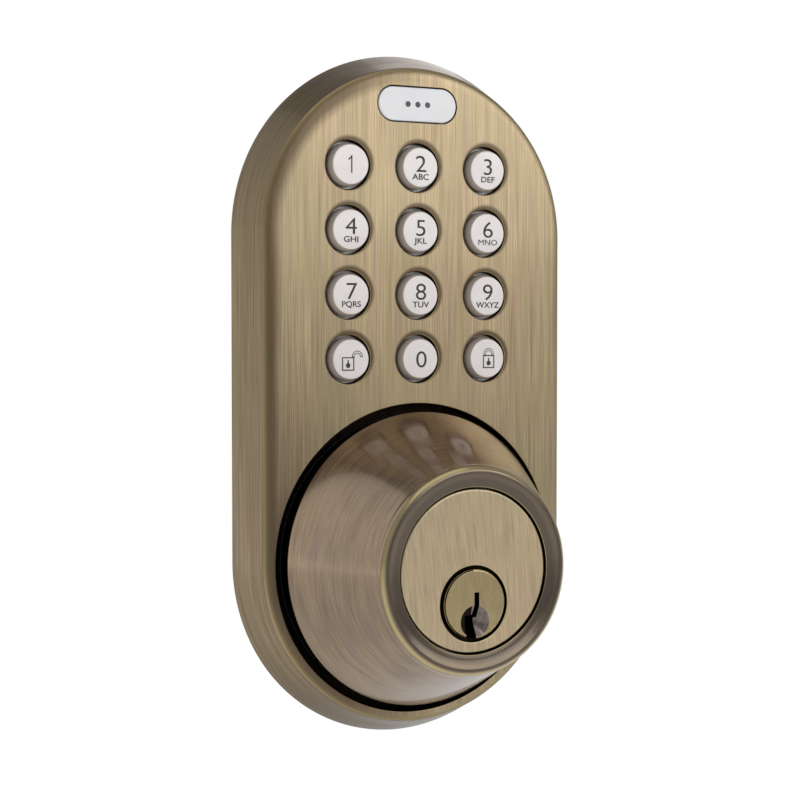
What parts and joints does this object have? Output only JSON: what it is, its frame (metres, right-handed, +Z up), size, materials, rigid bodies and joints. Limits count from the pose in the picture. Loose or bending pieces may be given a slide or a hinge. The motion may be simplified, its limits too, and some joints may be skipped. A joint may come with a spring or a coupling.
{
  "type": "keypad smart lock",
  "caption": "Outdoor half of a keypad deadbolt: pill-shaped escutcheon with push keys, status lens, free-spinning conical guard, key cylinder and tailpiece, in antique brass.",
  "frame": {"origin": "middle of the housing on the plane of the door's outer face", "axes": "+X to the right seen from outside, +Y into the door, +Z up; the keypad faces -Y"},
  "size_m": [0.07, 0.0755, 0.131],
  "materials": {
    "antique_brass": "antique brass plating over die-cast zinc, brushed up and down, lacquered",
    "guard_brass": "antique brass plating, brushed round and round, glossy lacquer",
    "plug_brass": "solid brass, lightly brushed, antique tint",
    "key_white": "silver-white satin paint with dark printed characters",
    "lens_white": "frosted white translucent acrylic",
    "boot_silicone": "soft grey silicone",
    "board_green": "green solder mask on glass-epoxy board",
    "chip_black": "black moulded epoxy",
    "led_clear": "clear resin",
    "socket_ivory": "natural nylon",
    "zinc_steel": "bright zinc-plated steel",
    "gasket_rubber": "black closed-cell rubber",
    "nylon_black": "black nylon",
    "pin_brass": "bright machined brass"
  },
  "bodies": {
    "escutcheon": {"housing": "antique_brass", "back_plate": "zinc_steel", "door_gasket": "gasket_rubber", "plate_screw_1": "zinc_steel", "plate_screw_2": "zinc_steel", "plate_screw_3": "zinc_steel", "plate_screw_4": "zinc_steel", "boot_1": "boot_silicone", "boot_2": "boot_silicone", "boot_3": "boot_silicone", "boot_4": "boot_silicone", "boot_5": "boot_silicone", "boot_6": "boot_silicone", "boot_7": "boot_silicone", "boot_8": "boot_silicone", "boot_9": "boot_silicone", "boot_unlock": "boot_silicone", "boot_0": "boot_silicone", "boot_lock": "boot_silicone", "status_lens": "lens_white", "circuit_board": "board_green", "board_screw_1": "zinc_steel", "board_screw_2": "zinc_steel", "board_screw_3": "zinc_steel", "board_screw_4": "zinc_steel", "cable_socket": "socket_ivory", "controller_chip": "chip_black", "status_led_left": "led_clear", "status_led_right": "led_clear", "guard_washer": "nylon_black", "cylinder_body": "antique_brass", "pin_cover": "pin_brass", "driver_pin_1": "zinc_steel", "driver_pin_2": "zinc_steel", "driver_pin_3": "zinc_steel", "driver_pin_4": "zinc_steel", "driver_pin_5": "zinc_steel", "mounting_post_left": "zinc_steel", "mounting_post_right": "zinc_steel"},
    "guard": {"cylinder_guard": "guard_brass"},
    "plug": {"key_plug": "plug_brass", "plug_clip": "zinc_steel", "tailpiece": "zinc_steel", "key_pin_1": "pin_brass", "key_pin_2": "pin_brass", "key_pin_3": "pin_brass", "key_pin_4": "pin_brass", "key_pin_5": "pin_brass"},
    "button_1": {"key_1": "key_white"},
    "button_2": {"key_2": "key_white"},
    "button_3": {"key_3": "key_white"},
    "button_4": {"key_4": "key_white"},
    "button_5": {"key_5": "key_white"},
    "button_6": {"key_6": "key_white"},
    "button_7": {"key_7": "key_white"},
    "button_8": {"key_8": "key_white"},
    "button_9": {"key_9": "key_white"},
    "button_unlock": {"key_unlock": "key_white"},
    "button_0": {"key_0": "key_white"},
    "button_lock": {"key_lock": "key_white"}
  },
  "joints": [
    {"name": "guard_spin", "type": "hinge", "parent": "escutcheon", "child": "guard", "pos_m": [0, 0, -0.0309], "axis": [0, -1, 0], "continuous": true},
    {"name": "plug_turn", "type": "hinge", "parent": "escutcheon", "child": "plug", "pos_m": [0, 0, -0.0369], "axis": [0, -1, 0], "range_deg": [-90, 90]},
    {"name": "press_1", "type": "slide", "parent": "escutcheon", "child": "button_1", "axis": [0, 1, 0], "range_m": [0, 0.0008], "stiffness_N_per_m": 1000, "deforming": ["boot_1"]},
    {"name": "press_2", "type": "slide", "parent": "escutcheon", "child": "button_2", "axis": [0, 1, 0], "range_m": [0, 0.0008], "stiffness_N_per_m": 1000, "deforming": ["boot_2"]},
    {"name": "press_3", "type": "slide", "parent": "escutcheon", "child": "button_3", "axis": [0, 1, 0], "range_m": [0, 0.0008], "stiffness_N_per_m": 1000, "deforming": ["boot_3"]},
    {"name": "press_4", "type": "slide", "parent": "escutcheon", "child": "button_4", "axis": [0, 1, 0], "range_m": [0, 0.0008], "stiffness_N_per_m": 1000, "deforming": ["boot_4"]},
    {"name": "press_5", "type": "slide", "parent": "escutcheon", "child": "button_5", "axis": [0, 1, 0], "range_m": [0, 0.0008], "stiffness_N_per_m": 1000, "deforming": ["boot_5"]},
    {"name": "press_6", "type": "slide", "parent": "escutcheon", "child": "button_6", "axis": [0, 1, 0], "range_m": [0, 0.0008], "stiffness_N_per_m": 1000, "deforming": ["boot_6"]},
    {"name": "press_7", "type": "slide", "parent": "escutcheon", "child": "button_7", "axis": [0, 1, 0], "range_m": [0, 0.0008], "stiffness_N_per_m": 1000, "deforming": ["boot_7"]},
    {"name": "press_8", "type": "slide", "parent": "escutcheon", "child": "button_8", "axis": [0, 1, 0], "range_m": [0, 0.0008], "stiffness_N_per_m": 1000, "deforming": ["boot_8"]},
    {"name": "press_9", "type": "slide", "parent": "escutcheon", "child": "button_9", "axis": [0, 1, 0], "range_m": [0, 0.0008], "stiffness_N_per_m": 1000, "deforming": ["boot_9"]},
    {"name": "press_unlock", "type": "slide", "parent": "escutcheon", "child": "button_unlock", "axis": [0, 1, 0], "range_m": [0, 0.0008], "stiffness_N_per_m": 1000, "deforming": ["boot_unlock"]},
    {"name": "press_0", "type": "slide", "parent": "escutcheon", "child": "button_0", "axis": [0, 1, 0], "range_m": [0, 0.0008], "stiffness_N_per_m": 1000, "deforming": ["boot_0"]},
    {"name": "press_lock", "type": "slide", "parent": "escutcheon", "child": "button_lock", "axis": [0, 1, 0], "range_m": [0, 0.0008], "stiffness_N_per_m": 1000, "deforming": ["boot_lock"]}
  ]
}
